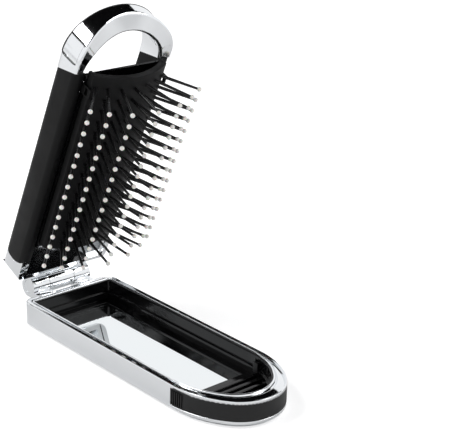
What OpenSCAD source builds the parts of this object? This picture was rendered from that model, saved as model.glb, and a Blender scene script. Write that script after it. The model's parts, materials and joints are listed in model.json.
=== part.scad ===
// Folding hairbrush with a mirror lid, standing open.
// Millimetres. The lid lies on its cover face; +Z is up, the lid runs along X with its
// round tip at +X, Y goes across. The origin is the middle of the cover's under face.

/* [Mirror lid] */
// Length of the lid from hinge end to round tip
lid_length = 120.4; // [110:0.2:135]
// Width of both halves
body_width = 42; // [40:0.5:50]
// Depth of the lid from its cover face to its rim
lid_depth = 10.8; // [10.4:0.1:14]
// Length of the tapering round end, measured along the lid
tip_reach = 28; // [24:0.5:32]
// Radius of the very tip
tip_radius = 17; // [14:0.5:18.5]
// Radius of the two corners at the hinge end
corner_radius = 4; // [2.5:0.5:6]
// Length of the solid end cap between the end wall and the tray
end_cap = 5.95; // [5:0.05:8]
// Thickness of the shell's side wall
shell_wall = 1.6; // [1.3:0.1:2]
// Width of the flat shoulder on top of the side wall
shoulder_width = 2.7; // [2.4:0.1:3.4]
// How far the rim line stands above the shoulder
lip_height = 0.4; // [0.3:0.05:0.8]
// How much wider the shoulder is at the round tip
tip_flange = 3.2; // [2:0.1:5]
// Height of the lower edge of the side wall
wall_foot = 2.3; // [1.8:0.1:3]

/* [Cover, tray and mirror] */
// Distance of the cover plate from the outside of the wall
cover_inset = 1.9; // [1.7:0.05:2.6]
// Thickness of the cover plate
cover_thickness = 1.1; // [0.8:0.05:1.4]
// Thickness of the mirror glass
glass_thickness = 1.2; // [0.9:0.05:1.3]
// Length of the visible mirror
mirror_length = 80.4; // [70:0.2:82]
// Width of the visible mirror
mirror_width = 26.6; // [22:0.2:28]
// Distance from the inner hinge line to the visible mirror
mirror_start = 4.7; // [3.5:0.1:7]
// Height of the tray floor around the mirror
tray_floor = 3; // [2.8:0.05:3.2]
// Height of the ledge that runs round the tray
tray_ledge = 4.3; // [4:0.05:4.5]
// Width of that ledge
ledge_width = 0.8; // [0.6:0.1:1]
// Thickness of the tray's standing wall
tray_wall = 0.6; // [0.5:0.05:0.9]
// Height of the three ridges above the tray floor
ridge_height = 0.6; // [0.3:0.05:0.7]
// Distance of the first ridge from the end of the mirror
ridge_start = 4.8; // [4.6:0.1:5.4]
// Spacing of the ridges
ridge_pitch = 3.6; // [3.4:0.1:4.2]

/* [Release band and buttons] */
// Distance from the inner hinge line to the ends of the band
band_start = 85.9; // [84:0.1:88]
// Height of the lower edge of the band
band_low = 2.9; // [2.6:0.1:3.4]
// Height of the upper edge of the band
band_high = 9.1; // [8.9:0.05:9.3]
// Depth of the band in the side wall
band_depth = 0.85; // [0.6:0.05:1]
// Length of a squeeze button
button_length = 5.2; // [4.4:0.1:5.6]
// Height of a squeeze button
button_height = 5.3; // [4.6:0.1:5.5]
// How far the ribs stand out of the side wall
rib_proud = 0.35; // [0.2:0.05:0.6]
// Number of grooves in a button
groove_count = 5; // [3:1:6]
// Press travel of a button
button_travel = 0.85; // [0.8:0.05:1]

/* [Hinge] */
// Distance of the pin from the inner hinge line
pin_reach = 10.5; // [10.3:0.05:12]
// Height of the pin above the rim
pin_rise = 1; // [0.8:0.05:1.4]
// Radius of the hinge barrel
barrel_radius = 4.2; // [3.6:0.05:4.3]
// Length of the hinge barrel
barrel_length = 27; // [24:0.5:29]
// Width of the middle knuckle
knuckle_width = 11.6; // [9:0.2:13]
// Radius of the hinge pin
pin_radius = 1.1; // [0.9:0.05:1.5]
// Angle the brush half has turned from the closed lid
open_angle = 66; // [60:1:75]

/* [Brush half] */
// Depth of the brush half behind the parting plane
brush_depth = 12.2; // [12.2:0.1:14]
// Reach of the arch from the inner hinge line
arch_reach = 113.8; // [110:0.2:118]
// Thickness of the arch
arch_thickness = 3.8; // [3:0.1:4.2]
// Thickness of a side rail
rail_thickness = 3.8; // [3.6:0.1:4]
// Radius of the outer back edge of rails and arch
back_radius = 3.4; // [2.4:0.1:3.7]
// Where the rails end at the hinge side
rail_start = 5.7; // [5:0.1:7]
// Distance from the crown of the arch back to the end of the rails, on their back
arch_leg = 23.5; // [22.8:0.1:24.3]
// Slant of the joint between rail and arch
joint_slant = 21.6; // [15:0.2:24]
// Distance of the yoke's nose before the inner hinge line
nose_reach = 5.1; // [4.6:0.05:5.5]
// Radius of the yoke's nose on its back
nose_radius = 5.5; // [4:0.1:6]
// Depth of the channel round the outside of the arch
channel_depth = 0.6; // [0.3:0.05:0.8]
// Width of that channel
channel_width = 5; // [4:0.1:6]

/* [Pad and bristles] */
// Radius of the domed pad
pad_radius = 30; // [28:0.5:34]
// Distance of the pad's side from the outside of the rail
pad_inset = 4.8; // [4.7:0.1:5.4]
// Height of the pad's crown above the parting plane
pad_crown = 8.4; // [8.2:0.05:8.6]
// Thickness of the rubber pad
pad_thickness = 1.2; // [0.9:0.05:1.25]
// Where the pad starts
pad_start = 15.5; // [14:0.1:17]
// Length of the finger hole, from the pad's end to the crown of the arch
hole_reach = 15.3; // [14.3:0.1:16.5]
// Thickness of the bed plate under the pad
bed_thickness = 0.8; // [0.6:0.05:0.85]
// Number of bristles in a column
bristle_rows = 16; // [12:1:16]
// Distance of the first row from the start of the pad
row_start = 3.75; // [3.3:0.05:4.2]
// Distance of the last row from the end of the pad
row_end = 7.1; // [5.8:0.1:10.2]
// Length of a bristle to the middle of its ball tip
bristle_length = 14.5; // [13:0.1:14.6]
// Radius of a bristle at its root
bristle_root = 0.55; // [0.4:0.05:0.65]
// Radius of a bristle under its tip
bristle_neck = 0.38; // [0.3:0.02:0.45]
// Radius of a ball tip
ball_radius = 0.65; // [0.5:0.05:0.7]
// Distance of the outer columns from the pad's side
outer_margin = 1.6; // [1.4:0.1:2.2]
// Distance from the outer columns to the next ones
outer_gap = 4; // [3.4:0.1:4.4]
// Distance from those to the columns beside the middle one
inner_gap = 5; // [4.4:0.1:5.6]
// Lean of the columns beside the middle one
lean_inner = 20; // [16:0.5:23]
// Lean of the next columns
lean_middle = 33; // [30:0.5:36]
// Lean of the outer columns
lean_outer = 42; // [38:0.5:45]

/* [Hidden] */
$fn = 96;
// Running clearance between parts that move on each other
run = 0.03;
// Gap between parts that are fitted together
fit = 0.02;
// Gap of sliding covers and seams
seam = 0.1;
// Overshoot of cutters
over = 1;

half = body_width / 2;
tip_x = lid_length / 2;
end_x = -lid_length / 2;
rim_x = end_x + end_cap;
arc_x = tip_x - tip_reach;
tip_run = tip_reach - tip_radius;
side_radius = (tip_run * tip_run + half * half - tip_radius * tip_radius) / (2 * (half - tip_radius));
end_wall = 2;
shoulder_z = lid_depth - lip_height;
shoulder_thickness = 1.2;
lip_width = 0.45;
end_round = 3;
groove_floor = shoulder_z - 0.5;
bead_top = shoulder_z - 0.15;
glass_margin = 0.8;
tray_step = 0.5;
tray_top = lid_depth - tray_step;
pin_x = rim_x - pin_reach;
pin_z = lid_depth + pin_rise;
cap_radius = 2.6;
cap_thickness = 0.6;

// Button and latch, in lid coordinates
button_x = rim_x + band_start + 3.3;
button_mid = (band_low + band_high) / 2;
neck_low = tray_ledge + 0.15;
neck_high = button_mid + button_height / 2 - 0.1;
flange_high = band_high - 0.1;
flange_inset = shell_wall + 0.5;
flange_length = button_length + 1;
stem_width = 2.4;
stem_high = neck_low + 0.7;
arm_setback = 5.25;
arm_inner = half - arm_setback;
arm_thickness = 0.7;
arm_drop = 2.5;
arm_high = lid_depth - arm_drop;
catch_height = 1;
catch_setback = 3.9;
catch_reach = half - catch_setback;
catch_width = 1.8;
catch_room = 1.3;

// Brush half, in its own coordinates: u along, v across, w towards the bristles
seat = 0.1;
front_w = lip_height - seat;
core_w = -seat;
rail_inner = half - rail_thickness;
strip_inner = half - shoulder_width + lip_width + 0.15;
end_arc = 8.2;
arch_u = arch_reach - half;
rail_end = arch_reach - arch_leg;
nose_front = 2;
pad_centre = pad_crown - pad_radius;
pad_edge = 0.47;
pad_half = half - pad_inset;
pad_end = arch_reach - hole_reach;
bed_top = pad_edge - fit;
bed_half = rail_inner - 0.2;
bed_start = pad_start - 2.5;
bed_end = pad_end + 1;
lip_rise = 0.75;
spine_half = 2;
spine_top = pad_centre + sqrt(pow(pad_radius - pad_thickness, 2) - spine_half * spine_half) - fit;
spine_thickness = 0.8;
column_outer = pad_half - outer_margin;
column_middle = column_outer - outer_gap;
column_inner = column_middle - inner_gap;
first_row = pad_start + row_start;
bristle_pitch = (pad_end - row_end - first_row) / (bristle_rows - 1);
leans = [-lean_outer, -lean_middle, -lean_inner, 0, lean_inner, lean_middle, lean_outer];
offsets = [-column_outer, -column_middle, -column_inner, 0, column_inner, column_middle, column_outer];
root_rise = 0.15;
tongue_u = band_start + 3.3;
tongue_setback = 4.5;
tongue_inner = half - tongue_setback;
tongue_thickness = 0.65;
tongue_length = 4;
tongue_reach = 5.2;
tongue_root = 2.5;
foot_height = 1.2;
foot_depth = 1.4;
window_low = lid_depth - arm_high - 0.3;
window_high = lid_depth - arm_high + catch_height + 0.3;

chrome = [0.86, 0.87, 0.88];
soft_black = [0.05, 0.05, 0.055];
tray_black = [0.08, 0.08, 0.085];
steel = [0.6, 0.61, 0.63];
mirror_tint = [0.78, 0.82, 0.85];
pearl = [0.93, 0.92, 0.9];

// Outline of the lid seen from above, moved inwards by inset, starting at start
module plan(inset, start, corner, cut = 0) {
  w = half - inset;
  a = arc_x - cut;
  meet = tip_run * (side_radius - inset) / (side_radius - tip_radius);
  translate([start, corner - w]) square([a - start, 2 * (w - corner)]);
  translate([start + corner, -w]) square([a - start - corner, 2 * w]);
  for (s = [-1, 1]) translate([start + corner, s * (w - corner)]) circle(corner);
  intersection() {
    translate([a - fit, -w]) square([meet + fit, 2 * w]);
    translate([a, half - side_radius]) circle(side_radius - inset);
    translate([a, side_radius - half]) circle(side_radius - inset);
  }
  translate([a + tip_run, 0]) circle(tip_radius - inset);
}

module body_plan(inset) plan(inset, end_x + inset, corner_radius - min(inset, corner_radius - 1));

module opening_plan(grow) plan(shoulder_width + grow, rim_x + grow, 1.5, tip_flange);

module slab(low, high) translate([0, 0, low]) linear_extrude(high - low) children();

// A wall that follows the lid's outline between two insets
module band_wall(outer, inner, low, high) difference() {
  slab(low, high) plan(outer, end_x - over, corner_radius);
  slab(low - over, high + over) plan(inner, end_x - 2 * over, corner_radius);
}

module box_at(x, length, y0, y1, low, high)
  translate([x - length / 2, y0, low]) cube([length, y1 - y0, high - low]);

module along_y(x, z, radius, length, y = 0)
  translate([x, y, z]) rotate([90, 0, 0]) cylinder(r = radius, h = length, center = true);

// ---------------------------------------------------------------- lid half

module lid_shell() color(chrome) difference() {
  union() {
    difference() {
      slab(wall_foot, shoulder_z) body_plan(0);
      translate([end_x - over, -half - over, shoulder_z - end_round])
        cube([end_round + over, body_width + 2 * over, end_round + over]);
    }
    intersection() {
      along_y(end_x + end_round, shoulder_z - end_round, end_round, body_width);
      slab(wall_foot, shoulder_z) body_plan(0);
    }
    slab(cover_thickness, wall_foot) body_plan(cover_inset / 2);
    slab(groove_floor - 0.2, lid_depth) opening_plan(-lip_width);
    for (s = [-1, 1]) lid_knuckle(s);
  }
  slab(-over, shoulder_z - shoulder_thickness)
    plan(shell_wall, end_x + end_wall, corner_radius - shell_wall);
  slab(-over, wall_foot + over) body_plan(cover_inset - 2 * fit);
  slab(-over, lid_depth + over) opening_plan(0);
  shoulder_groove();
  difference() {
    band_wall(-over, band_depth + fit, band_low - fit, band_high + fit);
    translate([end_x - 3 * over, -body_width, -over])
      cube([rim_x + band_start - fit - end_x + 3 * over, 2 * body_width, lid_depth + 2 * over]);
  }
  for (s = [-1, 1]) button_window(s);
  along_y(pin_x, pin_z, pin_radius + run, barrel_length + over);
  for (s = [-1, 1])
    along_y(pin_x, pin_z, cap_radius + fit, cap_thickness * 2, s * barrel_length / 2);
}

module lid_knuckle(s) {
  width = (barrel_length - knuckle_width) / 2 - seam;
  y = s * (barrel_length / 2 - width / 2);
  along_y(pin_x, pin_z, barrel_radius, width, y);
  translate([pin_x, y - width / 2, pin_z - barrel_radius])
    cube([rim_x - 2 * lip_width - 2 - pin_x, width, barrel_radius - pin_rise - lip_height - fit]);
}

module shoulder_groove() difference() {
  slab(groove_floor, lid_depth) body_plan(0.55);
  slab(groove_floor - over, lid_depth + over) opening_plan(-lip_width - 0.3);
  difference() {
    slab(groove_floor - over, bead_top) body_plan(1.2);
    slab(groove_floor - 2 * over, lid_depth + over) body_plan(1.6);
  }
  translate([end_x - over, -body_width, -over]) cube([end_round + over, 2 * body_width, lid_depth + 2 * over]);
}

module button_window(s) intersection() {
  band_wall(-over, shell_wall + over, 0, lid_depth);
  box_at(button_x, button_length + seam, min(0, s * body_width), max(0, s * body_width),
    button_mid - (button_height + seam) / 2, button_mid + (button_height + seam) / 2);
}

module lid_cover_plate() color(chrome) slab(0, cover_thickness) body_plan(cover_inset);

module mirror_tray() color(tray_black) difference() {
  union() {
    slab(cover_thickness + fit, tray_ledge)
      plan(cover_inset + 3 * fit, end_x + end_wall + 3 * fit, corner_radius - cover_inset);
    slab(tray_ledge - over, tray_top) opening_plan(fit);
  }
  slab(tray_ledge, lid_depth + over) opening_plan(fit + tray_wall);
  difference() {
    slab(tray_floor, lid_depth + over) opening_plan(fit + tray_wall + ledge_width);
    for (i = [0:2])
      translate([rim_x + mirror_start + mirror_length + ridge_start + i * ridge_pitch, 0, tray_floor - over / 2])
        cube([1.4, mirror_width - 4 * i, over + 2 * ridge_height], center = true);
  }
  slab(0, cover_thickness + fit + glass_thickness + 2 * fit) glass_plan(fit);
  translate([rim_x + mirror_start, -mirror_width / 2, 0]) cube([mirror_length, mirror_width, lid_depth]);
  for (s = [-1, 1]) intersection() {
    band_wall(shell_wall, flange_inset + button_travel + catch_room, tray_ledge, flange_high + seam);
    box_at(button_x, flange_length + 4 * seam, min(0, s * body_width), max(0, s * body_width), 0, lid_depth);
  }
}

module glass_plan(grow)
  translate([rim_x + mirror_start - glass_margin - grow, -mirror_width / 2 - glass_margin - grow])
    square([mirror_length + 2 * (glass_margin + grow), mirror_width + 2 * (glass_margin + grow)]);

module mirror_glass() color(mirror_tint)
  slab(cover_thickness + fit, cover_thickness + fit + glass_thickness) glass_plan(0);

module release_band() color(tray_black) difference() {
  band_wall(0, band_depth, band_low, band_high);
  translate([end_x - 3 * over, -body_width, -over])
    cube([rim_x + band_start - end_x + 3 * over, 2 * body_width, lid_depth + 2 * over]);
  for (s = [-1, 1]) button_window(s);
}

module button(s) {
  y0 = min(0, s * body_width);
  y1 = max(0, s * body_width);
  arm_y = s > 0 ? arm_inner : -arm_inner - arm_thickness;
  difference() {
    intersection() {
      band_wall(-rib_proud, band_depth + fit, 0, lid_depth);
      box_at(button_x, button_length, y0, y1, button_mid - button_height / 2, button_mid + button_height / 2);
    }
    for (i = [0:groove_count - 1]) intersection() {
      band_wall(-over, rib_proud, -over, lid_depth + over);
      box_at(button_x + (i - (groove_count - 1) / 2) * button_length / (groove_count + 0.5),
        button_length / groove_count / 2, y0, y1, 0, lid_depth);
    }
  }
  intersection() {
    band_wall(band_depth, flange_inset, 0, lid_depth);
    box_at(button_x, button_length - 4 * seam, y0, y1, neck_low, neck_high);
  }
  intersection() {
    band_wall(shell_wall + 2 * fit, flange_inset, 0, lid_depth);
    box_at(button_x, flange_length, y0, y1, neck_low, flange_high);
  }
  box_at(button_x, stem_width, s > 0 ? arm_inner : flange_inset - half, s > 0 ? half - flange_inset : -arm_inner,
    neck_low, stem_high);
  box_at(button_x, stem_width, arm_y, arm_y + arm_thickness, neck_low, arm_high);
  box_at(button_x, catch_width, s > 0 ? arm_inner : -catch_reach, s > 0 ? catch_reach : -arm_inner,
    arm_high - catch_height, arm_high);
}

module button_left() color(tray_black) button(1);

module button_right() color(tray_black) button(-1);

// ------------------------------------------------------------------ hinge

module hinge_pin() color(steel)
  along_y(pin_x, pin_z, pin_radius, barrel_length - 2 * cap_thickness - 2 * seam);

module pin_caps() color(chrome) for (s = [-1, 1])
  along_y(pin_x, pin_z, cap_radius, cap_thickness - fit, s * (barrel_length - cap_thickness - fit) / 2);

// ------------------------------------------------------------- brush half

// Puts a shape given in brush coordinates into its open place
module in_brush()
  translate([pin_x, 0, pin_z]) rotate([0, -open_angle, 0]) translate([-pin_x, 0, -pin_z])
    translate([rim_x, 0, lid_depth]) rotate([180, 0, 0]) children();

module along_u(from, to) translate([from, 0, 0]) rotate([90, 0, 90]) linear_extrude(to - from) children();

module across_v(width) rotate([90, 0, 0]) linear_extrude(width, center = true) children();

// Half section of rail or arch: v to the right, w upwards
module rail_section(inner) {
  translate([inner, -brush_depth]) square([half - back_radius - inner + fit, brush_depth + core_w]);
  translate([inner, back_radius - brush_depth]) square([half - inner, brush_depth - back_radius + core_w]);
  intersection() {
    translate([half - back_radius, back_radius - brush_depth]) circle(back_radius);
    translate([half - back_radius, -2 * brush_depth]) square([body_width, 4 * brush_depth]);
  }
  translate([strip_inner, core_w - over]) square([half - strip_inner, front_w - core_w + over]);
}

module both_sections(inner) {
  rail_section(inner);
  mirror([1, 0]) rail_section(inner);
}

// Everything on the hinge side of the slanted joint, moved along u by shift
module rail_side(shift)
  translate([rail_end + shift, 0, -brush_depth]) rotate([0, joint_slant, 0])
    translate([-2 * arch_reach, -body_width, -body_width]) cube([2 * arch_reach, 2 * body_width, 3 * body_width]);

module rail_foot(grow) {
  bulge = end_arc - sqrt(end_arc * end_arc - brush_depth * brush_depth / 4);
  along_y(rail_start - bulge + end_arc, -brush_depth / 2, end_arc + grow, 2 * body_width);
  translate([rail_start - grow, -body_width, -body_width]) cube([arch_reach, 2 * body_width, 2 * body_width]);
}

module rail() intersection() {
  along_u(0, arch_reach) rail_section(rail_inner);
  rail_foot(0);
  rail_side(0);
}

module rail_left() color(soft_black) in_brush() difference() {
  mirror([0, 1, 0]) rail();
  mirror([0, 1, 0]) tongue_slot();
}

module rail_right() color(soft_black) in_brush() difference() {
  rail();
  tongue_slot();
}

module tongue_slot()
  translate([tongue_u - tongue_length / 2 - fit, rail_inner - over, core_w - tongue_root - fit])
    cube([tongue_length + 2 * fit, foot_depth + over + fit, foot_height + 2 * fit]);

module tongue() difference() {
  union() {
    translate([tongue_u - tongue_length / 2, tongue_inner, core_w - tongue_root])
      cube([tongue_length, tongue_thickness, tongue_root + tongue_reach - core_w]);
    translate([tongue_u - tongue_length / 2, tongue_inner, core_w - tongue_root])
      cube([tongue_length, rail_inner + foot_depth - tongue_inner, foot_height]);
  }
  translate([tongue_u - catch_width / 2 - 0.5, tongue_inner - over, window_low])
    cube([catch_width + 1, tongue_thickness + 2 * over, window_high - window_low]);
}

module latch_tongue_left() color(tray_black) in_brush() mirror([0, 1, 0]) tongue();

module latch_tongue_right() color(tray_black) in_brush() tongue();

module arch() color(chrome) in_brush() difference() {
  union() {
    along_u(rail_start, arch_u) both_sections(half - arch_thickness);
    translate([arch_u, 0, 0]) rotate([0, 0, -90]) rotate_extrude(angle = 180) rail_section(half - arch_thickness);
  }
  rail_side(seam);
  difference() {
    translate([0, 0, core_w - (brush_depth + channel_width) / 2]) linear_extrude(channel_width) {
      translate([rail_end + 8, -half - over]) square([arch_u - rail_end - 8, body_width + 2 * over]);
      translate([arch_u, 0]) circle(half + over);
    }
    translate([0, 0, -2 * brush_depth]) linear_extrude(3 * brush_depth) {
      translate([0, channel_depth - half]) square([arch_u, body_width - 2 * channel_depth]);
      translate([arch_u, 0]) circle(half - channel_depth);
    }
  }
}

// What a rounded corner of radius r leaves of a square, its corner at the origin
module corner_waste(r) difference() {
  translate([-over, -over]) square(r + over);
  translate([r, r]) circle(r);
}

module brush_yoke() color(chrome) in_brush() difference() {
  union() {
    along_u(-nose_reach, rail_start + nose_radius) both_sections(rail_inner);
    translate([-nose_reach, -half, -brush_depth]) cube([nose_reach / 2, body_width, brush_depth + core_w]);
    translate([-nose_reach, -rail_inner - fit, -brush_depth])
      cube([rail_start + nose_reach + 2, 2 * (rail_inner + fit), 1.2]);
    along_y(-pin_reach, -pin_rise, barrel_radius, knuckle_width - seam);
    translate([-pin_reach, -(knuckle_width - seam) / 2, -pin_rise - barrel_radius])
      cube([pin_reach - nose_reach + 1, knuckle_width - seam, barrel_radius + pin_rise + core_w]);
  }
  across_v(2 * body_width) translate([-nose_reach, -brush_depth]) corner_waste(nose_radius);
  for (s = [-1, 1]) {
    yoke_side(s) translate([-nose_reach, front_w]) mirror([0, 1]) corner_waste(nose_front);
    translate([-nose_reach, s * half, -2 * brush_depth]) linear_extrude(4 * brush_depth)
      mirror([0, s > 0 ? 1 : 0]) corner_waste(corner_radius);
    intersection() {
      rail_foot(seam / 2);
      translate([0, s > 0 ? rail_inner - fit : -half - over, -2 * brush_depth])
        cube([2 * arch_reach, half - rail_inner + fit + over, 4 * brush_depth]);
    }
  }
  along_y(-pin_reach, -pin_rise, pin_radius + run, barrel_length);
}

// Sweeps a side view cutter through the yoke beside the middle knuckle
module yoke_side(s) translate([0, s * (body_width + knuckle_width) / 2, 0]) across_v(body_width) children();

// --------------------------------------------------------- pad and bristles

module pad_section() difference() {
  intersection() {
    translate([0, pad_centre]) circle(pad_radius);
    translate([-pad_half, pad_edge]) square([2 * pad_half, pad_radius]);
  }
  intersection() {
    translate([0, pad_centre]) circle(pad_radius - pad_thickness);
    translate([pad_thickness - pad_half, pad_edge - over]) square([2 * (pad_half - pad_thickness), pad_radius]);
  }
}

// The well between rails and arch as a prism, its sides moved inwards by gap
module well(gap) translate([0, 0, -2 * brush_depth]) linear_extrude(4 * brush_depth) {
  translate([0, gap - rail_inner]) square([arch_u, 2 * (rail_inner - gap)]);
  translate([arch_u, 0]) circle(half - arch_thickness - gap);
}

module pad() color(soft_black) in_brush() intersection() {
  along_u(pad_start, pad_end) pad_section();
  well(0.8);
}

module pad_bed() color(tray_black) in_brush() difference() {
  intersection() {
    union() {
      along_u(bed_start, bed_end)
        translate([-bed_half, bed_top - bed_thickness]) square([2 * bed_half, bed_thickness]);
      for (s = [-1, 1]) along_u(bed_start, bed_end)
        translate([s * (bed_half + pad_half + fit) / 2, bed_top + lip_rise / 2 - fit])
          square([bed_half - pad_half - fit, lip_rise + fit], center = true);
    }
    well(0.2);
  }
  for (s = [-1, 1]) translate([tongue_u, s * (tongue_inner + half) / 2, 0])
    cube([tongue_length + 1, half - tongue_inner + 4 * seam, 4 * lip_rise], center = true);
}

module pad_spine() color(tray_black) in_brush() along_u(pad_start + over, pad_end - over)
  translate([-spine_half, spine_top - spine_thickness]) square([2 * spine_half, spine_thickness]);

module at_roots(column) for (row = [0:bristle_rows - 1])
  translate([first_row + row * bristle_pitch, offsets[column - 1],
    pad_centre + sqrt(pad_radius * pad_radius - offsets[column - 1] * offsets[column - 1])])
    rotate([-leans[column - 1], 0, 0]) children();

module bristles(column) color(soft_black) in_brush() at_roots(column)
  translate([0, 0, root_rise])
    cylinder(r1 = bristle_root, r2 = bristle_neck, h = bristle_length - ball_radius - root_rise - fit, $fn = 32);

module tips(column) color(pearl) in_brush() at_roots(column)
  translate([0, 0, bristle_length]) sphere(ball_radius, $fn = 32);

lid_shell();
lid_cover_plate();
mirror_tray();
mirror_glass();
release_band();
button_left();
button_right();
hinge_pin();
pin_caps();
brush_yoke();
rail_left();
rail_right();
arch();
latch_tongue_left();
latch_tongue_right();
pad_bed();
pad();
pad_spine();
for (i = [1:7]) bristles(i);
for (i = [1:7]) tips(i);
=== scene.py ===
# %% [markdown]
# # Folding hairbrush with a mirror lid
# The imported CAD model is the frame. It gives every piece its place and its motion, and this
# notebook gives it its looks: softened edges, the rubber pad in two halves, finishes, a pale
# table, studio light and the camera. Lengths are written in millimetres.

# %% Frame
import json
import math

import bpy
import bmesh
from mathutils import Matrix, Vector

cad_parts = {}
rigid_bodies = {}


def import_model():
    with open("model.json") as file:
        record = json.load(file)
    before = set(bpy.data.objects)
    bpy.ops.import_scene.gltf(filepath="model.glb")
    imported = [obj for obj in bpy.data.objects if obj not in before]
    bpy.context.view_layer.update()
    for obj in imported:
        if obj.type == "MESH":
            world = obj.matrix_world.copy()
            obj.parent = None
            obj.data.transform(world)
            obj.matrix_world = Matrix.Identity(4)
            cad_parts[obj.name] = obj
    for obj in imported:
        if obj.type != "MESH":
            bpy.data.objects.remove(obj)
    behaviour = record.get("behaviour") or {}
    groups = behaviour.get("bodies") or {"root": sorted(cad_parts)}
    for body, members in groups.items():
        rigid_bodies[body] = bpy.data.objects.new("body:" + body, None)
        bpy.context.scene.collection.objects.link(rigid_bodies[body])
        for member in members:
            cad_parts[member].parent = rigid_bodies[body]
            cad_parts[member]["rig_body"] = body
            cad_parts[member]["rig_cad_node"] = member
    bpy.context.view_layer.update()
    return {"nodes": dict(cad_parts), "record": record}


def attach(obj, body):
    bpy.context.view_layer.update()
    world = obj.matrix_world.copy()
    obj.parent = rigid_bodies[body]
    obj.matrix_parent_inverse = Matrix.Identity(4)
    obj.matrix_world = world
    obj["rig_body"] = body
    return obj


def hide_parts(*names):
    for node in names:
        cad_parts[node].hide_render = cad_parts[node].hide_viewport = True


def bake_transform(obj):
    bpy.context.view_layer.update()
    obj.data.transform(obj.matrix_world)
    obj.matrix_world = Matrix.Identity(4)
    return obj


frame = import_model()
nodes = frame["nodes"]
MM = 0.001

# %% [markdown]
# ## Measures
# The same real measures as in the CAD source. The brush half is drawn in its own coordinates:
# u runs along it from the hinge, v across, w towards the bristle tips. It could be drawn at its
# slant, but one matrix that takes it there keeps every number a plain length along the brush.

# %% Measures
HALF = 21.0  # half the width of the lid and of the brush half
PIN = Vector((-64.75, 0, 11.8))
RIM_X = -54.25  # hinge end of the tray's opening
LID_DEPTH = 10.8
OPEN_ANGLE = math.radians(66)
# The pad: half its width, radius and centre of its dome, half the width that follows its spine
PAD_HALF, PAD_RADIUS, PAD_CENTRE, PAD_PLATEAU = 16.2, 30.0, -21.6, 5.8

# millimetres in brush coordinates to metres in the frame
BRUSH_TO_FRAME = Matrix.Scale(MM, 4) @ (
    Matrix.Translation(PIN) @ Matrix.Rotation(-OPEN_ANGLE, 4, "Y") @ Matrix.Translation(-PIN)
    @ Matrix.Translation((RIM_X, 0, LID_DEPTH)) @ Matrix.Rotation(math.pi, 4, "X"))
FRAME_TO_BRUSH = BRUSH_TO_FRAME.inverted()


def in_frame(u, v, w):
    """A point given in brush coordinates, in the frame's metres."""
    return BRUSH_TO_FRAME @ Vector((u, v, w))


print("middle of the brush half in mm", [round(c / MM, 1) for c in in_frame(50, 0, 0)])


# %% [markdown]
# ## Helpers
# Blender's operators act on all that is selected. So each helper deselects everything, picks
# its piece, and finds the faces, edges or vertices it means by their place. Clicking on them
# would be quicker, but a place still holds when the mesh changes.

# %% Selecting
def deselect():
    if bpy.context.object and bpy.context.object.mode != "OBJECT":
        bpy.ops.object.mode_set(mode="OBJECT")
    bpy.ops.object.select_all(action="DESELECT")


def pick(obj):
    """Makes obj the only selected and active object."""
    deselect()
    obj.select_set(True)
    bpy.context.view_layer.objects.active = obj
    return obj


def edit_all(obj, kind=None):
    """Enters edit mode with the whole mesh selected."""
    pick(obj)
    bpy.ops.object.mode_set(mode="EDIT")
    if kind:
        bpy.ops.mesh.select_mode(type=kind)
    bpy.ops.mesh.select_all(action="SELECT")


def leave_edit():
    bpy.ops.object.mode_set(mode="OBJECT")


def select_in_edit(obj, faces=None, edges=None):
    """Enters edit mode with only the faces or edges selected whose place passes the test."""
    pick(obj)
    bpy.ops.object.mode_set(mode="EDIT")
    bpy.ops.mesh.select_mode(type="FACE" if faces else "EDGE")
    bpy.ops.mesh.select_all(action="DESELECT")
    bm = bmesh.from_edit_mesh(obj.data)
    if faces:
        for f in bm.faces:
            f.select_set(bool(faces(f)))
    else:
        for e in bm.edges:
            e.select_set(bool(edges(e)))
    bmesh.update_edit_mesh(obj.data)


def select_vertices(obj, test):
    """Enters edit mode with only the vertices selected whose place passes the test."""
    pick(obj)
    bpy.ops.object.mode_set(mode="EDIT")
    bpy.ops.mesh.select_mode(type="VERT")
    bpy.ops.mesh.select_all(action="DESELECT")
    bm = bmesh.from_edit_mesh(obj.data)
    for v in bm.verts:
        v.select_set(bool(test(v.co)))
    bm.select_flush_mode()
    bmesh.update_edit_mesh(obj.data)


def select_members(obj, members):
    """Enters edit mode with only the vertices selected that an earlier test found."""
    pick(obj)
    for v in obj.data.vertices:
        v.select = v.index in members
    for part in (*obj.data.edges, *obj.data.polygons):
        part.select = False
    bpy.ops.object.mode_set(mode="EDIT")
    bpy.ops.mesh.select_mode(type="VERT")


# %% Finishing a mesh
SAME = 0.001  # mm within which two places count as one


def face_outwards():
    """Turns the faces of the piece in edit mode outwards."""
    bpy.ops.mesh.select_all(action="SELECT")
    bpy.ops.mesh.normals_make_consistent(inside=False)


def apply_all(obj):
    pick(obj)
    for m in list(obj.modifiers):
        bpy.ops.object.modifier_apply(modifier=m.name)
    return obj


def freeze(obj):
    """Moves the object's place into its mesh."""
    pick(obj)
    bpy.ops.object.transform_apply(location=True, rotation=True, scale=True)
    return obj


def to_frame(obj, matrix=Matrix.Scale(MM, 4)):
    """Takes a piece drawn in millimetres to its place in the frame."""
    obj.matrix_world = matrix @ obj.matrix_world
    return freeze(obj)


def copy_of(node, name):
    """A free copy of a CAD node's mesh, its split corners merged."""
    obj = nodes[node].copy()
    obj.data = nodes[node].data.copy()
    obj.parent = None
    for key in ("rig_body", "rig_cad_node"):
        if key in obj:
            del obj[key]
    obj.name = obj.data.name = name
    bpy.context.scene.collection.objects.link(obj)
    edit_all(obj)
    bpy.ops.mesh.remove_doubles(threshold=SAME * MM)
    bpy.ops.mesh.normals_make_consistent(inside=False)
    leave_edit()
    return obj


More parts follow.
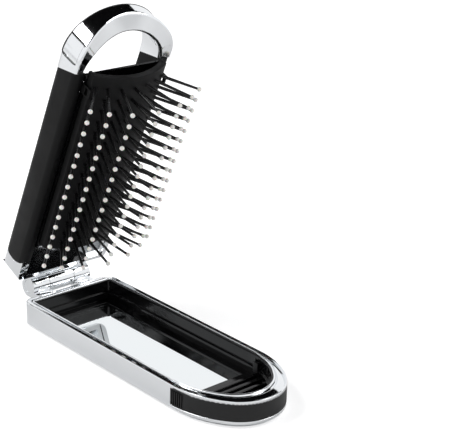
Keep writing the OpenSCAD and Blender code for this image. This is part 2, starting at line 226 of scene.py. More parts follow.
def smooth(obj, degrees=30, weighted=False):
    pick(obj)
    bpy.ops.object.shade_smooth_by_angle(angle=math.radians(degrees))
    if weighted:
        normal = obj.modifiers.new("normal", "WEIGHTED_NORMAL")
        normal.keep_sharp = True
        apply_all(obj)
    return obj


# %% [markdown]
# ## Finishes
# Each finish is built from shader nodes, so that it has the same detail at every distance and
# needs no picture. One function turns a screen colour into linear light and one adds a node.

# %% Material helpers
def linear(code):
    """'#rrggbb' as linear RGBA."""
    parts = [int(code[i:i + 2], 16) / 255 for i in (1, 3, 5)]
    return tuple(p / 12.92 if p <= 0.04045 else ((p + 0.055) / 1.055) ** 2.4 for p in parts) + (1.0,)


def add(tree, kind, links=(), **settings):
    """Adds a shader node. Settings go to its sockets by name, or to the node where it has no such
    socket; links are (own input, other node, its output)."""
    node = tree.nodes.new(kind)
    for key, value in settings.items():
        socket = next((s for s in node.inputs if s.name.replace(" ", "_") == key), None)
        if socket is not None:
            socket.default_value = value
        else:
            setattr(node, key, value)
    for own, other, output in links:
        tree.links.new(other.outputs[output], node.inputs[own])
    return node


def new_material(name):
    material = bpy.data.materials.new(name)
    material.use_nodes = True
    material.node_tree.nodes.clear()
    return material, material.node_tree


def coords(tree, size_mm, stretch=(1, 1, 1)):
    """Object coordinates in which one unit of a pattern is size_mm long."""
    place = add(tree, "ShaderNodeTexCoord")
    scale = tuple(k / (size_mm * MM) for k in stretch)
    return add(tree, "ShaderNodeMapping", [("Vector", place, "Object")], Scale=scale)


def finish_material(tree, shader):
    add(tree, "ShaderNodeOutputMaterial", [("Surface", shader, 0)])


print("middle grey in linear light", round(linear("#808080")[0], 3))


# %% [markdown]
# ### Chrome, glass and steel
# The bright pieces are moulded ABS, plated with chrome. Their mould was polished, so the plate
# is a mirror that wavers a little. The glass mirror is silvered float glass, flatter than that,
# and the pin is drawn wire with fine lines along it. A picture could carry the wavering, but
# noise can be given its real size in millimetres.

# %% Metals
def make_chrome():
    # Bright plating: hardly any waviness, and a haze in patches of a few millimetres
    material, tree = new_material("chrome_plate_on_abs")
    wave = add(tree, "ShaderNodeTexNoise", [("Vector", coords(tree, 9), 0)], Scale=1.0, Detail=1.0)
    haze = add(tree, "ShaderNodeTexNoise", [("Vector", coords(tree, 2.5), 0)], Scale=1.0, Detail=4.0)
    rough = add(tree, "ShaderNodeMapRange", [("Value", haze, 0)],
                From_Min=0.3, From_Max=0.7, To_Min=0.05, To_Max=0.085)
    bump = add(tree, "ShaderNodeBump", [("Height", wave, 0)], Strength=0.06, Distance=0.05 * MM)
    shader = add(tree, "ShaderNodeBsdfPrincipled", [("Roughness", rough, 0), ("Normal", bump, 0)],
                 Base_Color=linear("#eef0f2"), Metallic=1.0)
    finish_material(tree, shader)
    return material


def make_mirror():
    # Silvered float glass, seen as the bright layer behind a thin clear pane
    material, tree = new_material("silvered_glass")
    haze = add(tree, "ShaderNodeTexNoise", [("Vector", coords(tree, 18), 0)], Scale=1.0, Detail=3.0)
    rough = add(tree, "ShaderNodeMapRange", [("Value", haze, 0)],
                From_Min=0.35, From_Max=0.7, To_Min=0.006, To_Max=0.018)
    shader = add(tree, "ShaderNodeBsdfPrincipled", [("Roughness", rough, 0)],
                 Base_Color=linear("#eff3f4"), Metallic=1.0, Coat_Weight=0.3, Coat_Roughness=0.01)
    finish_material(tree, shader)
    return material


def make_steel():
    # Drawn steel wire: fine lines along the pin
    material, tree = new_material("drawn_steel")
    along = coords(tree, 0.15, (1, 0.05, 1))
    lines = add(tree, "ShaderNodeTexNoise", [("Vector", along, 0)], Scale=1.0, Detail=2.0)
    rough = add(tree, "ShaderNodeMapRange", [("Value", lines, 0)], To_Min=0.2, To_Max=0.38)
    shader = add(tree, "ShaderNodeBsdfPrincipled", [("Roughness", rough, 0)],
                 Base_Color=linear("#c3c5c8"), Metallic=1.0)
    finish_material(tree, shader)
    return material


CHROME, MIRROR, STEEL = make_chrome(), make_mirror(), make_steel()
print("metals", [m.name for m in (CHROME, MIRROR, STEEL)])


# %% [markdown]
# ### Blacks and pearl
# Five blacks lie side by side on this brush, and only their sheen tells them apart. So they
# share one function, and differ in roughness, in grain and in how much they reflect.

# %% Plastics and rubber
def make_black(name, colour, rough_low, rough_high, grain_mm, depth_mm, specular):
    """A black moulding: a roughness that wanders a little and a fine moulded grain."""
    material, tree = new_material(name)
    cloud = add(tree, "ShaderNodeTexNoise", [("Vector", coords(tree, 6), 0)], Scale=1.0, Detail=3.0)
    grain = add(tree, "ShaderNodeTexNoise", [("Vector", coords(tree, grain_mm), 0)], Scale=1.0, Detail=2.0)
    rough = add(tree, "ShaderNodeMapRange", [("Value", cloud, 0)], From_Min=0.3, From_Max=0.7,
                To_Min=rough_low, To_Max=rough_high)
    bump = add(tree, "ShaderNodeBump", [("Height", grain, 0)], Strength=0.25, Distance=depth_mm * MM)
    shader = add(tree, "ShaderNodeBsdfPrincipled", [("Roughness", rough, 0), ("Normal", bump, 0)],
                 Base_Color=linear(colour), Specular_IOR_Level=specular)
    finish_material(tree, shader)
    return material


def make_pearl():
    # Dipped resin balls: nearly white, glossy, a little light passes through
    material, tree = new_material("dipped_resin_pearl")
    cloud = add(tree, "ShaderNodeTexNoise", [("Vector", coords(tree, 0.8), 0)], Scale=1.0, Detail=2.0)
    tint = add(tree, "ShaderNodeMix", [(0, cloud, 0)], data_type="RGBA")
    for socket, colour in ((6, "#f4f2ee"), (7, "#e9e6e0")):
        tint.inputs[socket].default_value = linear(colour)
    shader = add(tree, "ShaderNodeBsdfPrincipled", [("Base Color", tint, 2)],
                 Roughness=0.22, Subsurface_Weight=0.15, Subsurface_Scale=0.4 * MM)
    finish_material(tree, shader)
    return material


# Soft-touch lacquer over ABS, sprayed: matt with a faint sheen
SOFT_TOUCH = make_black("soft_touch_lacquer", "#050506", 0.42, 0.52, 0.25, 0.01, 0.16)
# Black ABS, moulded in a polished tool
TRAY = make_black("black_abs_gloss", "#060607", 0.1, 0.16, 0.5, 0.002, 0.3)
# The band and its buttons: matt black elastomer-touch ABS. It also colours the strip of painted shade round
# the arch's recess
BAND = make_black("black_abs_matt", "#0b0b0c", 0.4, 0.5, 0.2, 0.01, 0.4)
# Moulded silicone rubber, matt
RUBBER = make_black("black_moulded_rubber", "#0b0b0c", 0.5, 0.62, 0.4, 0.015, 0.2)
# Drawn nylon bristles, glossy along the shaft
NYLON = make_black("black_nylon", "#0b0b0c", 0.24, 0.32, 0.3, 0.004, 0.5)
PEARL = make_pearl()
print("plastics and rubber", [m.name for m in (SOFT_TOUCH, TRAY, BAND, RUBBER, NYLON, PEARL)])

# %% Each node's finish
FINISH = {
    "chrome": CHROME, "soft_touch": SOFT_TOUCH, "tray_plastic": TRAY, "mirror": MIRROR,
    "pin_steel": STEEL, "pad_rubber": RUBBER, "bristle_nylon": NYLON, "tip_resin": PEARL,
}
SLOT_OF = {s["node"]: s["material_slot"] for s in frame["record"]["subparts"]}


def paint(obj, material):
    obj.data.materials.clear()
    obj.data.materials.append(material)


for name, obj in nodes.items():
    paint(obj, FINISH[SLOT_OF[name]])
for name in ("release_band", "button_left", "button_right"):
    paint(nodes[name], BAND)
for name in ("latch_tongue_left", "latch_tongue_right"):
    paint(nodes[name], SOFT_TOUCH)
print("materials", len(bpy.data.materials))

# %% [markdown]
# ## Softened edges
# Moulded and plated parts have no sharp edge, and an edge without a rounding catches no light.
# The CAD pieces keep their meshes, so modifiers round them: the triangles of each flat face are
# merged first, because a bevel would follow them. Bristles and tips only swell a little, to the
# weight they have to the eye.

# %% Edge rounding
FLAT_ANGLE = 0.5  # degrees under which two triangles count as one flat face
EDGE_MM = {
    "lid_cover_plate": 0.3, "mirror_glass": 0.1, "release_band": 0.08, "button_left": 0.07,
    "button_right": 0.07, "pin_caps": 0.15, "brush_yoke": 0.12, "latch_tongue_left": 0.08,
    "latch_tongue_right": 0.08,
}
SHAFT_SWELL, TIP_SWELL = 0.07, 0.2


def soften(name, width_mm, segments=3, angle=28):
    obj = nodes[name]
    weld = obj.modifiers.new("weld", "WELD")
    weld.merge_threshold = SAME * MM
    flat = obj.modifiers.new("flat", "DECIMATE")
    flat.decimate_type = "DISSOLVE"
    flat.angle_limit = math.radians(FLAT_ANGLE)
    bevel = obj.modifiers.new("edge", "BEVEL")
    bevel.width = width_mm * MM
    bevel.segments = segments
    bevel.limit_method = "ANGLE"
    bevel.angle_limit = math.radians(angle)
    bevel.miter_outer = "MITER_ARC"
    normal = obj.modifiers.new("normal", "WEIGHTED_NORMAL")
    normal.keep_sharp = True
    smooth(obj, 40)


for name, width in EDGE_MM.items():
    soften(name, width)
for number in range(1, 8):
    for name, grow in ((f"bristles_{number}", SHAFT_SWELL), (f"tips_{number}", TIP_SWELL)):
        swell = nodes[name].modifiers.new("swell", "DISPLACE")
        swell.strength = grow * MM
        swell.mid_level = 0
        smooth(nodes[name], 50)
print("softened", len(EDGE_MM), "pieces")

# %% [markdown]
# ## Lid shell
# The plated shell is a wall with a rolled lower edge, a rounded top edge, a cove with a fine
# bead in it, and the thin rim line. Such a moulding could be swept along a curve, but a sweep
# pinches at the corners. Here one face with the lid's outline is inset again and again, each
# time by the same distance all round. Towards the round tip the cove opens into a wide flange,
# so the inner rings are moved back there by their share of the flange.

# %% The outline
MERGE, SLIGHT_BEND = 0.08, 0.7  # points this close (mm) and bends this slight (degrees) go
OUTERMOST = 1e-4  # mm within which a point counts as the farthest one


def outline_face(name, height, node="lid_shell"):
    """A CAD piece's outer outline at that height as one face that looks up."""
    obj = copy_of(node, name)
    obj.scale = (1 / MM,) * 3
    freeze(obj)
    edit_all(obj)
    bpy.ops.mesh.bisect(plane_co=(0, 0, height), plane_no=(0, 0, 1), clear_inner=True, clear_outer=True)
    leave_edit()
    end = max(v.co.x for v in obj.data.vertices) - OUTERMOST
    select_vertices(obj, lambda co: co.x > end)
    bpy.ops.mesh.select_linked()
    bpy.ops.mesh.select_all(action="INVERT")
    bpy.ops.mesh.delete(type="VERT")
    bpy.ops.mesh.select_all(action="SELECT")
    bpy.ops.mesh.remove_doubles(threshold=MERGE)
    bpy.ops.mesh.edge_face_add()
    bm = bmesh.from_edit_mesh(obj.data)
    for v in bm.verts:
        v.select_set(v.calc_edge_angle(1) < math.radians(SLIGHT_BEND))
    bm.select_flush_mode()
    bmesh.update_edit_mesh(obj.data)
    bpy.ops.mesh.dissolve_verts()
    bpy.ops.mesh.select_all(action="SELECT")
    bm = bmesh.from_edit_mesh(obj.data)
    if sum(f.normal.z for f in bm.faces) < 0:
        bpy.ops.mesh.flip_normals()
    leave_edit()
    return obj


# How far the inner rings move at the tip and at the hinge end
TIP_FLANGE, HINGE_SHIFT = 3.2, 3.25
# The outline: straight sides to ARC_X, side arcs, the tip's arc about TIP_C, corners at END_X
ARC_X, TIP_RADIUS, SIDE_RADIUS, END_X, TIP_C, CORNER = 32.2, 17.0, 34.1, -60.2, 43.2, 4.0
ROUND_FROM, HINGE_TO = ARC_X - 0.1, END_X + 12  # where the round end starts, the hinge end stops


def inset_of(co):
    """How far inside the outline a point of the round end or of the hinge end lies."""
    x, y = co.x, abs(co.y)
    if x > ROUND_FROM:
        side = SIDE_RADIUS - math.hypot(x - ARC_X, y + SIDE_RADIUS - HALF)
        tip = TIP_RADIUS - math.hypot(x - TIP_C, y)
        past = x - TIP_C > y * (TIP_C - ARC_X) / (SIDE_RADIUS - HALF)
        return tip if past else side
    if x < END_X + CORNER and y > HALF - CORNER:
        return CORNER - math.hypot(x - END_X - CORNER, y - HALF + CORNER)
    return min(x - END_X, HALF - y)


def sweep_in(obj, start, profile, up, keep=False):
    """Follows a profile of (inset, height) with parallel insets of one face."""
    edit_all(obj, "FACE")
    d0, z0 = start
    for d, z, *_ in profile:
        bpy.ops.mesh.inset(thickness=max(d - d0, 0.0), depth=(z - z0) * up, use_boundary=True,
                           use_even_offset=True)
        d0, z0 = d, z
    if not keep:
        bpy.ops.mesh.delete(type="ONLY_FACE")
    leave_edit()
    return obj


def widen(obj, profile):
    """Draws the inner rings back at the tip and at the hinge end, each by its share."""
    rings = [[], []]
    for v in obj.data.vertices:
        for end, near in enumerate((v.co.x > ROUND_FROM, v.co.x < HINGE_TO)):
            if near:
                d = inset_of(v.co)
                share = min(profile, key=lambda p: abs(p[0] - d))[2]
                rings[end].append((v.index, share))
    for end, step in enumerate((-TIP_FLANGE, HINGE_SHIFT)):
        for share in sorted({s for _, s in rings[end] if s}):
            select_members(obj, {i for i, s in rings[end] if s == share})
            bpy.ops.transform.translate(value=(step * share, 0, 0))
            leave_edit()
    return obj


print("flange at the tip", TIP_FLANGE, "mm, at the hinge end", HINGE_SHIFT, "mm")

# %% [markdown]
# ### Profile of the lid's edge
# Read from the wall inwards, each row is one inset. It could be a curve, but a list of rows
# lets each small step keep its own height and its own share of the move at the ends.

# %% The profile
SEAM_Z, SHOULDER_BASE = 2.6, 9.2
# (inset, height, share of the move at the ends): wall, top edge, cove, bead, groove, rim line
UPPER = (
    (0, 2.87, 0), (0, 9.13, 0), (0, 10.1, 0), (0.04, 10.27, 0), (0.15, 10.38, 0), (0.3, 10.42, 0.02),
    (0.42, 10.36, 0.04), (0.48, 10.1, 0.05), (0.53, 9.42, 0.06), (0.75, 9.55, 0.11), (1.0, 9.69, 0.19),
    (1.25, 9.83, 0.29), (1.5, 9.97, 0.41), (1.7, 10.08, 0.53), (1.78, 10.16, 0.58), (1.86, 10.21, 0.61),
    (1.94, 10.15, 0.65), (1.99, 9.95, 0.69), (2.08, 9.8, 0.75), (2.17, 9.95, 0.84), (2.2, 10.45, 0.88),
    (2.25, 10.68, 0.9), (2.35, 10.79, 0.93), (2.48, 10.8, 0.96), (2.6, 10.76, 0.98), (2.67, 10.62, 0.99),
    (2.7, 10.3, 1), (2.7, SHOULDER_BASE, 1),
)
# (inset, height): the rolled lower edge, and the inside of the wall back up to the shoulder
LOWER = (
    (0, 2.3), (0.06, 1.95), (0.2, 1.62), (0.42, 1.34), (0.7, 1.16), (0.95, 1.1), (1.6, 1.1),
    (1.6, SHOULDER_BASE),
)
print("profile points", len(UPPER) + len(LOWER))


# %% [markdown]
# ### Cutting and joining
# What an inset can't give is cut with a block or a rod by a boolean, as a milling cutter would.
# A cutter reaches past the piece on its open sides, where its size shows nowhere.

# %% Cutting helpers
def boolean(obj, cutter, operation="DIFFERENCE"):
    """Cuts with a second piece, or adds it to the first, and removes it."""
    cut = obj.modifiers.new("cut", "BOOLEAN")
    cut.operation = operation
    cut.object = cutter
    cut.solver = "EXACT"
    apply_all(obj)
    bpy.data.objects.remove(cutter)
    return obj


def block(low, high, name="block"):
    deselect()
    bpy.ops.mesh.primitive_cube_add(size=1, location=[(a + b) / 2 for a, b in zip(low, high)])
    obj = bpy.context.object
    obj.name = name
    obj.scale = [b - a for a, b in zip(low, high)]
    return freeze(obj)


def side_block(side, x, y, z):
    """A block between two x, y and z, on the left (1) or on the right (-1) of the middle."""
    return block((x[0], min(side * y[0], side * y[1]), z[0]), (x[1], max(side * y[0], side * y[1]), z[1]))


def rod(radius, length, centre, axis="Y", vertices=64, name="rod"):
    deselect()
    turn = {"X": (0, math.pi / 2, 0), "Y": (math.pi / 2, 0, 0), "Z": (0, 0, 0)}[axis]
    bpy.ops.mesh.primitive_cylinder_add(radius=radius, depth=length, location=centre, rotation=turn,
                                        vertices=vertices)
    obj = bpy.context.object
    obj.name = name
    return freeze(obj)


def bevel_all(obj, width, segments=3, angle=35):
    rim = obj.modifiers.new("rim", "BEVEL")
    rim.width = width
    rim.segments = segments
    rim.limit_method = "ANGLE"
    rim.angle_limit = math.radians(angle)
    return apply_all(obj)


def join(obj, other):
    """Makes other a part of obj."""
    deselect()
    other.select_set(True)
    obj.select_set(True)
    bpy.context.view_layer.objects.active = obj
    bpy.ops.object.join()


# %% [markdown]
# ### Wall, top edge and rim line
# The upper part grows from the outline at the seam. The lower part is the same outline turned
# over. The inside of the wall could be a Solidify modifier, but its thickness isn't even, so
# the two open ends are bridged.

# %% Build the shell
shell = widen(sweep_in(outline_face("lid_shell_plated", SEAM_Z), (0, SEAM_Z), UPPER, 1), UPPER)
under = outline_face("lower_edge", SEAM_Z)
edit_all(under)
bpy.ops.mesh.flip_normals()
leave_edit()
join(shell, sweep_in(under, (0, SEAM_Z), LOWER, -1))
select_in_edit(shell, edges=lambda e: e.is_boundary and all(
    abs(v.co.z - SHOULDER_BASE) < SAME for v in e.verts))
bpy.ops.mesh.bridge_edge_loops()
bpy.ops.mesh.select_all(action="SELECT")
bpy.ops.mesh.remove_doubles(threshold=SAME / 2)
BAND_START = 31.63
SPLITS = (-50, -30, 0, 26, BAND_START)  # no face gets very long, and the band starts at an edge
for x in SPLITS:
    bpy.ops.mesh.select_all(action="SELECT")
    bpy.ops.mesh.bisect(plane_co=(x, 0, 0), plane_no=(1, 0, 0))
face_outwards()
leave_edit()
print("shell swept", len(shell.data.polygons))

# %% [markdown]
# ### Recess and windows
# The black band lies in a recess of the wall round the tip, and each button comes out through
# a window. The recess is one inset that sinks the faces behind the band. The windows are
# booleans, because they pass through the whole wall.

# %% Recess for the band and windows for the buttons
BAND_LOW, BAND_HIGH, BAND_GAP, INSIDE_X = 2.86, 9.14, 0.87, ARC_X - 12
WINDOW = ((32.3, 37.6), (16, 23), (3.3, 8.7))


def in_band(face):
    """A face of the outer wall that lies behind the black band."""
    middle = face.calc_center_median()
    outwards = Vector((middle.x - INSIDE_X, middle.y, 0))
    return (middle.x > BAND_START and all(BAND_LOW < v.co.z < BAND_HIGH for v in face.verts)
            and abs(face.normal.z) < 0.1 and face.normal.dot(outwards) > 0)


select_in_edit(shell, faces=in_band)
bpy.ops.mesh.inset(thickness=0.001, depth=-BAND_GAP, use_even_offset=True)
leave_edit()
for side in (-1, 1):
    boolean(shell, side_block(side, *WINDOW))
print("recess and windows", len(shell.data.polygons))

# %% [markdown]
# ### Hinge end
# At the hinge the lid is rounded over its end and at both corners. Each rounding is a block
# with a cylinder taken out of it, and what is left of the block is cut away. A bevel would have
# to follow every ring of the profile. Only the edge that the corner cut leaves is bevelled.

# %% Rounded hinge end of the shell
END_ROUND, ROUND_X, ROUND_Z = 3.0, -57.2, 7.4
OUTER_CORNER, CORNER_BEVEL, PAST = 7.5, 0.45, 24  # PAST lies outside the lid on both sides
ON_ARC, SHARP, ABOVE = 0.02, 0.6, 7  # near the corner's arc, bend in radians, over the wall's middle
boolean(shell, boolean(block((-62, -PAST, ROUND_Z), (ROUND_X, PAST, 12)),
                       rod(END_ROUND, 60, (ROUND_X, 0, ROUND_Z))))
for side in (-1, 1):
    waste = side_block(side, (END_X - 2, END_X + OUTER_CORNER), (HALF - OUTER_CORNER, PAST), (-1, 13))
    corner = (END_X + OUTER_CORNER, side * (HALF - OUTER_CORNER), 6)
    boolean(shell, boolean(waste, rod(OUTER_CORNER, 16, corner, axis="Z", vertices=128)))


def on_corner(co):
    reach = math.hypot(co.x - END_X - OUTER_CORNER, abs(co.y) - HALF + OUTER_CORNER)
    return co.z > ABOVE and abs(reach - OUTER_CORNER) < ON_ARC


select_in_edit(shell, edges=lambda e: all(on_corner(v.co) for v in e.verts) and len(e.link_faces) == 2
               and e.calc_face_angle(0) > SHARP and e.verts[0].co.x < END_X + OUTER_CORNER - 0.1)
bpy.ops.mesh.bevel(offset=CORNER_BEVEL, segments=3, affect="EDGES")
leave_edit()
smooth(shell, 32, weighted=True)
to_frame(shell)
paint(shell, CHROME)
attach(shell, "lid")
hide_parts("lid_shell")
print("shell", len(shell.data.polygons), [round(c / MM, 2) for c in shell.dimensions])

# %% [markdown]
# ## Tray
# The black tray is one glossy moulding: a thin standing wall, a ledge, a floor with three
# ridges, and the frame of the mirror. It is inset from its own outline as the shell is. The
# ridges join it and the openings are cut, so that no face is left inside it.

# %% Tray
TRAY_BASE, FLOOR, LEDGE, TRAY_TOP = 1.2, 3.0, 5.8, 10.3
TRAY_PROFILE = (
    (0, TRAY_TOP - 0.15), (0.04, TRAY_TOP - 0.05), (0.14, TRAY_TOP), (0.42, TRAY_TOP),
    (0.53, TRAY_TOP - 0.05), (0.6, TRAY_TOP - 0.18), (0.64, TRAY_TOP - 0.6), (0.74, LEDGE + 0.12),
    (0.82, LEDGE), (1.42, LEDGE - 0.02), (1.54, LEDGE - 0.07), (1.61, LEDGE - 0.2),
    (1.68, FLOOR + 0.12), (1.74, FLOOR),
)
OUTLINE_Z = 9.6  # where the CAD tray shows its outer outline
tray = outline_face("mirror_tray_body", OUTLINE_Z, "mirror_tray")
tray.location.z = TRAY_BASE - OUTLINE_Z
freeze(tray)
sweep_in(tray, (0, TRAY_BASE), TRAY_PROFILE, 1, keep=True)
select_in_edit(tray, edges=lambda e: e.is_boundary)
bpy.ops.mesh.edge_face_add()
face_outwards()
leave_edit()
print("tray swept", len(tray.data.polygons))

# %% Ridges, mirror opening and room for the buttons
MIRROR_X, MIRROR_LENGTH, MIRROR_HALF = RIM_X + 4.7, 80.4, 13.3
RIDGE_START, RIDGE_PITCH, RIDGE_WIDTH = 3.4, 3.6, 1.5
RIDGES = ((16.3, 0.75), (15.6, 1.0), (13.6, 1.25))  # half length, height above the floor
RIDGE_BEVEL, FRAME_BEVEL = 0.22, 0.3
CATCH_SLOT = ((33.35, 36.55), (15.2, 19.8), (4.2, 9.0))
FLANGE_ROOM = ((31.6, 38.3), (17.8, 19.8), (4.1, 9.15))
for i, (half_length, height) in enumerate(RIDGES):
    x = MIRROR_X + MIRROR_LENGTH + RIDGE_START + RIDGE_PITCH * i
    ridge = block((x, -half_length, FLOOR - 0.5), (x + RIDGE_WIDTH, half_length, FLOOR + height))
    boolean(tray, bevel_all(ridge, RIDGE_BEVEL), "UNION")
boolean(tray, block((MIRROR_X, -MIRROR_HALF, 0), (MIRROR_X + MIRROR_LENGTH, MIRROR_HALF, 8)))
for side in (-1, 1):
    for room in (CATCH_SLOT, FLANGE_ROOM):
        boolean(tray, side_block(side, *room))


def mirror_edge(edge):
    """The upper edge of the tray's frame round the mirror."""
    return len(edge.link_faces) == 2 and edge.calc_face_angle(0) > 1 and all(
        abs(v.co.z - FLOOR) < SAME and abs(v.co.y) < MIRROR_HALF + 0.01
        and v.co.x < MIRROR_X + MIRROR_LENGTH + 0.01 for v in edge.verts)


select_in_edit(tray, edges=mirror_edge)
bpy.ops.mesh.bevel(offset=FRAME_BEVEL, segments=3, affect="EDGES")
leave_edit()
smooth(tray, 32, weighted=True)
to_frame(tray)
paint(tray, TRAY)
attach(tray, "lid")
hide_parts("mirror_tray")
print("tray", len(tray.data.polygons), [round(c / MM, 2) for c in tray.dimensions])

# %% [markdown]
# ## Knuckles of the lid
# Two short barrels hold the pin, each with a foot that runs into the end of the lid. They are
# part of the plated moulding. A cylinder and a block are joined before their edges are
# rounded, so that the rounding runs on where they meet, and a seat is cut for the pin's cap.

# %% Knuckles
BARREL, BARREL_LENGTH, MIDDLE_KNUCKLE, KNUCKLE_GAP = 4.2, 27.0, 11.6, 0.1
CAP_SEAT_RADIUS, CAP_SEAT = 2.62, 1.2
FOOT_X, FOOT_TOP, KNUCKLE_BEVEL = -57.0, 10.35, 0.28


def lid_knuckle(side, name):
    width = (BARREL_LENGTH - MIDDLE_KNUCKLE) / 2 - KNUCKLE_GAP
    y = side * (BARREL_LENGTH - width) / 2
    barrel = rod(BARREL, width, (PIN.x, y, PIN.z), name=name)
    foot = block((PIN.x, y - width / 2, PIN.z - BARREL), (FOOT_X, y + width / 2, FOOT_TOP))
    boolean(barrel, foot, "UNION")
    boolean(barrel, rod(CAP_SEAT_RADIUS, CAP_SEAT, (PIN.x, side * BARREL_LENGTH / 2, PIN.z)))
    bevel_all(barrel, KNUCKLE_BEVEL)
    smooth(barrel, 35)
    to_frame(barrel)
    paint(barrel, CHROME)
    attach(barrel, "lid")
    return barrel


knuckles = [lid_knuckle(1, "lid_knuckle_left"), lid_knuckle(-1, "lid_knuckle_right")]
print("knuckles", [len(k.data.polygons) for k in knuckles])

# %% [markdown]
# ## Bars of the brush half
# Rails and arch are bars with rounded corners. Both start from one face across the bar, drawn
# in brush coordinates: the rail pulls it out straight and the arch spins it round the tip.

# %% Section across a bar
BRUSH_DEPTH, RAIL_INNER, ARCH_U = 12.2, 17.2, 92.8
RAIL_END, SLANT = 90.3, math.radians(21.6)
JOINT = Vector((math.cos(SLANT), 0, -math.sin(SLANT)))  # across the slanted joint of rail and arch


def bar_section(name, low, high, rounding, dish=0.0):
    """A face across the bar: (v, w) rectangle from low to high, its corners rounded.
    rounding maps 'outer_back', 'outer_front', 'inner_back', 'inner_front' to radii; dish lowers
    the inner front corner."""
    deselect()
    bpy.ops.mesh.primitive_plane_add(size=1, location=(0, 0, 0))
    obj = bpy.context.object
    obj.name = name
    # the plane's x becomes v and its y becomes w
    obj.matrix_world = Matrix(((0, 0, 1, 0), (high[0] - low[0], 0, 0, (low[0] + high[0]) / 2),
                               (0, high[1] - low[1], 0, (low[1] + high[1]) / 2), (0, 0, 0, 1)))
    freeze(obj)
    select_vertices(obj, lambda co: abs(co.y - low[0]) < SAME and abs(co.z - high[1]) < SAME)
    bpy.ops.transform.translate(value=(0, 0, -dish))
    places = {"outer_back": (high[0], low[1]), "outer_front": high, "inner_back": low,
              "inner_front": (low[0], high[1] - dish)}
    for key, radius in rounding.items():
        v, w = places[key]
        select_vertices(obj, lambda co: abs(co.y - v) < SAME and abs(co.z - w) < SAME)
        bpy.ops.mesh.bevel(offset=radius, segments=10, affect="VERTICES", offset_type="OFFSET", profile=0.5)
    leave_edit()
    return obj


def cut_plane(obj, point, normal, fill=True):
    """Keeps what lies on the side the normal points away from."""
    edit_all(obj, "FACE")
    bpy.ops.mesh.bisect(plane_co=point, plane_no=normal, use_fill=fill, clear_outer=True)
    if fill:
        face_outwards()
    leave_edit()


print("joint of rail and arch slants", round(math.degrees(SLANT), 1), "degrees")

# %% [markdown]
# ### Rails
# The side rails are black bars with a soft lacquer, round on the outside, crisp on the inside.
# Their hinge end is an arc round the yoke, cut with a cylinder, and their far end is slanted.

# %% Rails
RAIL_FRONT = 0.25
RAIL_ROUNDING = {"outer_back": 3.4, "outer_front": 2.6, "inner_back": 0.3, "inner_front": 0.35}
END_ARC, END_ARC_U, RAIL_START = 8.2, 11.18, 5.7
UNCUT, RAIL_BEVEL = 100, 0.25


def rail(side, name):
    obj = bar_section(name, (RAIL_INNER, -BRUSH_DEPTH), (HALF, RAIL_FRONT), RAIL_ROUNDING)
    edit_all(obj)
    bpy.ops.mesh.extrude_region_move(TRANSFORM_OT_translate={"value": (UNCUT, 0, 0)})
    face_outwards()
    leave_edit()
    cut_plane(obj, (RAIL_END, 0, -BRUSH_DEPTH), JOINT)
    reach = boolean(rod(END_ARC, 60, (END_ARC_U, 0, -BRUSH_DEPTH / 2), vertices=128),
                    block((RAIL_START, -30, -30), (130, 30, 30)), "UNION")
    boolean(obj, reach, "INTERSECT")
    if side < 0:
        obj.scale = (1, -1, 1)
        freeze(obj)
        edit_all(obj)
        bpy.ops.mesh.normals_make_consistent(inside=False)
        leave_edit()
    bevel_all(obj, RAIL_BEVEL, 2, 50)
    smooth(obj, 35)
    to_frame(obj, BRUSH_TO_FRAME)
    paint(obj, SOFT_TOUCH)
    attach(obj, "brush")
    return obj


rails = {"rail_right": rail(1, "rail_right_body"), "rail_left": rail(-1, "rail_left_body")}
for node, obj in rails.items():
    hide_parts(node)
print("rails", [len(r.data.polygons) for r in rails.values()])

# %% [markdown]
# ### Arch
# The plated arch is a bar bent round the finger hole. Its outside follows a fuller curve than
# its inside, so the ring grows wider towards the tip. A curve could carry the bar, but it would
# keep one width. A spin gives the bend instead, and its outer and inner points are then
# stretched along u by different amounts. The front leans inwards, which is what a dish in the
# section gives.

# %% Bent bar
SPIN_STEPS, LEG = 96, 14
OUTER_CENTRE, OUTER_REACH, INNER_REACH = 98.0, 15.8, 15.3
# What is stretched as the outside: behind BACK_W all but the inner face, because the outer
# rounding reaches far in there, and in front of it only the outer face
BACK_W, INNER_SKIN, OUTER_SKIN = -5, 0.3, 1.2


def bent_bar(name, low, high, rounding, dish=0.0):
    """A bar bent round the tip of the brush half, with straight legs back to the rails."""
    obj = bar_section(name, low, high, rounding, dish)
    obj.location.x = ARCH_U
    freeze(obj)
    edit_all(obj)
    bpy.ops.mesh.spin(steps=SPIN_STEPS, angle=math.pi, center=(ARCH_U, 0, 0), axis=(0, 0, 1))
    bpy.ops.mesh.select_all(action="SELECT")
    bpy.ops.mesh.remove_doubles(threshold=SAME / 2)
    leave_edit()

    def outer(co):
        limit = RAIL_INNER + INNER_SKIN if co.z < BACK_W else HALF - OUTER_SKIN
        return math.hypot(co.x - ARCH_U, co.y) > limit

    outside = {v.index for v in obj.data.vertices if outer(v.co)}
    inside = {v.index for v in obj.data.vertices} - outside
    for members, reach, shift in ((outside, OUTER_REACH / HALF, OUTER_CENTRE - ARCH_U),
                                  (inside, INNER_REACH / RAIL_INNER, 0)):
        select_members(obj, members)
        bpy.ops.transform.resize(value=(reach, 1, 1), center_override=(ARCH_U, 0, 0))
        if shift:
            bpy.ops.transform.translate(value=(shift, 0, 0))
        leave_edit()
    for side in (1, -1):
        select_in_edit(obj, faces=lambda f: f.calc_center_median().y * side > 0 and all(
            min(abs(v.co.x - ARCH_U), abs(v.co.x - OUTER_CENTRE)) < SAME for v in f.verts))
        bpy.ops.mesh.extrude_region_move(TRANSFORM_OT_translate={"value": (-LEG, 0, 0)})
    face_outwards()
    leave_edit()
    return obj


print("tip of the arch at u =", OUTER_CENTRE + OUTER_REACH, "mm")

# %% [markdown]
# ### Tapered tip
# Towards the tip the arch gets thinner, until it is half as deep as its legs. Scaling a part of
# it would leave a kink where that part begins. A lattice of a few points draws the front down
# little by little.

